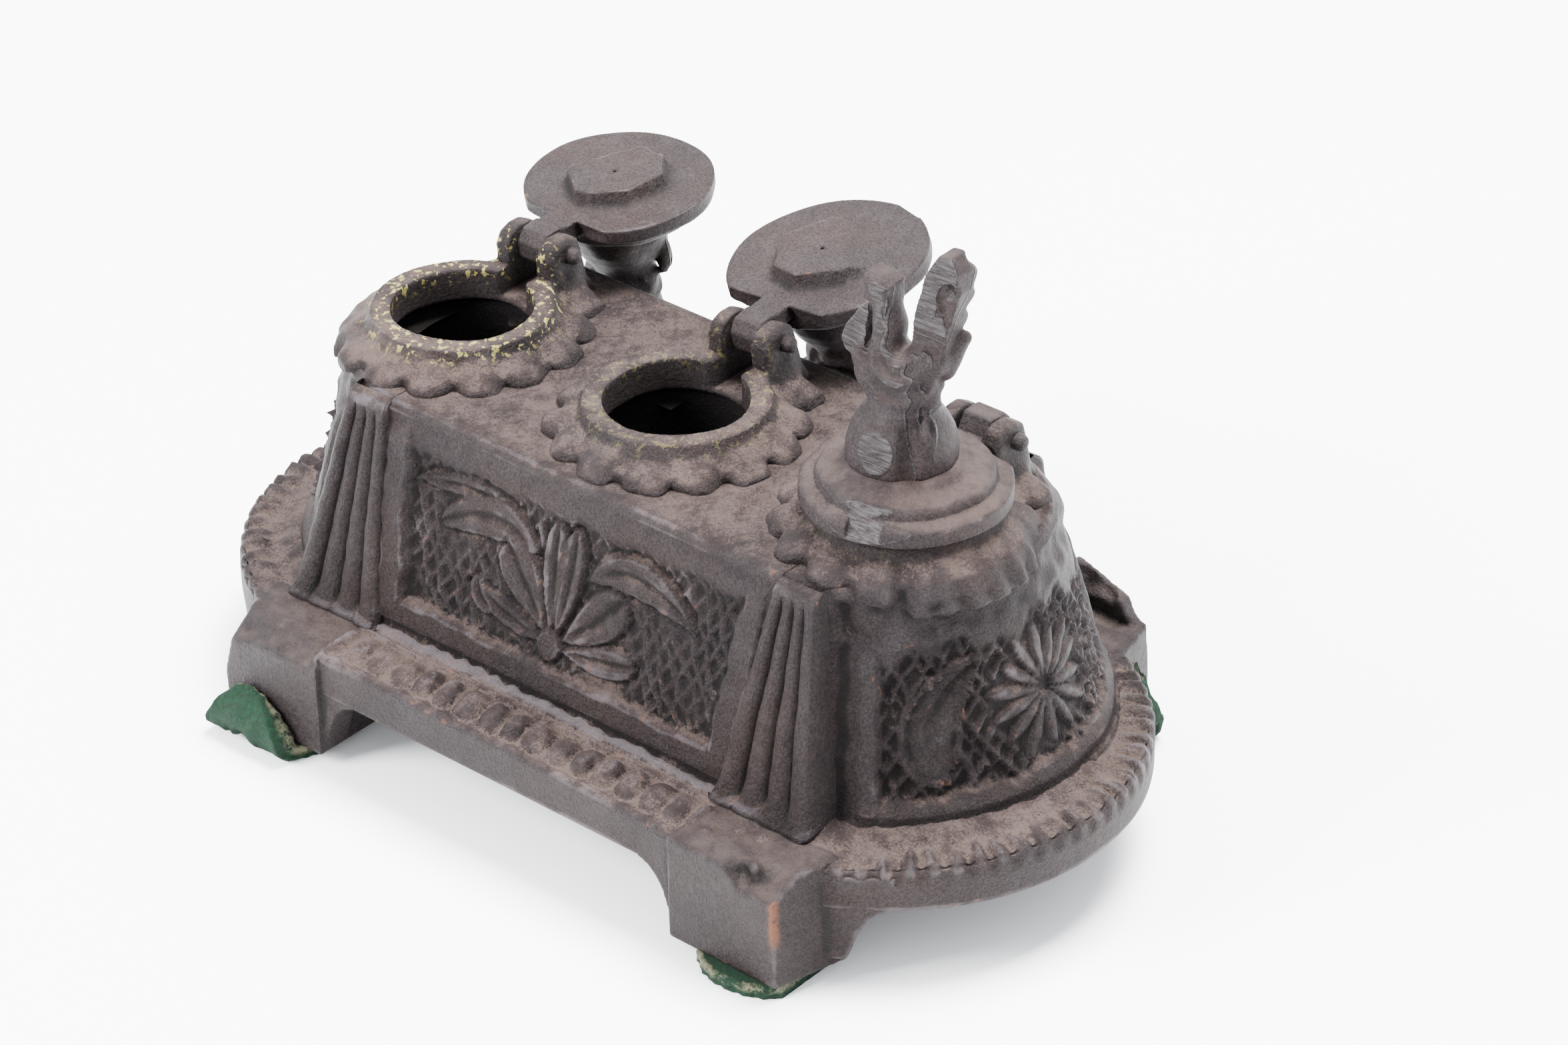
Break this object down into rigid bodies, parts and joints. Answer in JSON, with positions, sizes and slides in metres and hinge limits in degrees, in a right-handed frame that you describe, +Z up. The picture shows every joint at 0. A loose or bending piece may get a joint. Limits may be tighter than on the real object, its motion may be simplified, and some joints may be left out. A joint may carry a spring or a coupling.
{
  "type": "inkwell",
  "caption": "Cast bronze inkwell: tapered casket on a footed plinth, round wells in scalloped collars, hinged lids with bird knobs, felt pads under the feet.",
  "frame": {"origin": "bottom centre of the whole object's box with the lids as they stand at rest, on the plane of the felt pads' undersides", "axes": "+X along the row of wells, from the left well to the right one; +Y towards the hinges and the back; +Z up"},
  "size_m": [0.1572, 0.0984, 0.0994],
  "materials": {
    "bronze_plinth": "cast, dark brown-grey patina, dusty recesses",
    "bronze_casket": "cast in relief, dark brown-grey patina, dusty recesses",
    "bronze_collar": "cast, dark patina with traces of verdigris",
    "bronze_cup": "rough inside, ink-darkened",
    "bronze_lid": "filed and rubbed, dark patina",
    "bronze_bird": "cast, filed flats, dark patina",
    "pin": "cut rod, dull",
    "felt": "thick woolly felt"
  },
  "bodies": {
    "stand": {"plinth": "bronze_plinth", "casket": "bronze_casket", "well_collar_left": "bronze_collar", "ink_cup_left": "bronze_cup", "hinge_pin_left": "pin", "well_collar_middle": "bronze_collar", "ink_cup_middle": "bronze_cup", "hinge_pin_middle": "pin", "well_collar_right": "bronze_collar", "ink_cup_right": "bronze_cup", "hinge_pin_right": "pin", "felt_pad_front_left": "felt", "felt_pad_front_right": "felt", "felt_pad_back_left": "felt", "felt_pad_back_right": "felt"},
    "lid_body_left": {"lid_left": "bronze_lid", "bird_finial_left": "bronze_bird"},
    "lid_body_middle": {"lid_middle": "bronze_lid", "bird_finial_middle": "bronze_bird"},
    "lid_body_right": {"lid_right": "bronze_lid", "bird_finial_right": "bronze_bird"}
  },
  "joints": [
    {"name": "lid_left_hinge", "type": "hinge", "parent": "stand", "child": "lid_body_left", "pos_m": [-0.043, 0.01626, 0.061], "axis": [-1, 0, 0], "range_deg": [-175.5, 0]},
    {"name": "lid_middle_hinge", "type": "hinge", "parent": "stand", "child": "lid_body_middle", "pos_m": [0, 0.01626, 0.061], "axis": [-0.9986, 0, -0.0523], "range_deg": [-170, 0]},
    {"name": "lid_right_hinge", "type": "hinge", "parent": "stand", "child": "lid_body_right", "pos_m": [0.043, 0.01626, 0.061], "axis": [-1, 0, 0], "range_deg": [0, 175]}
  ]
}
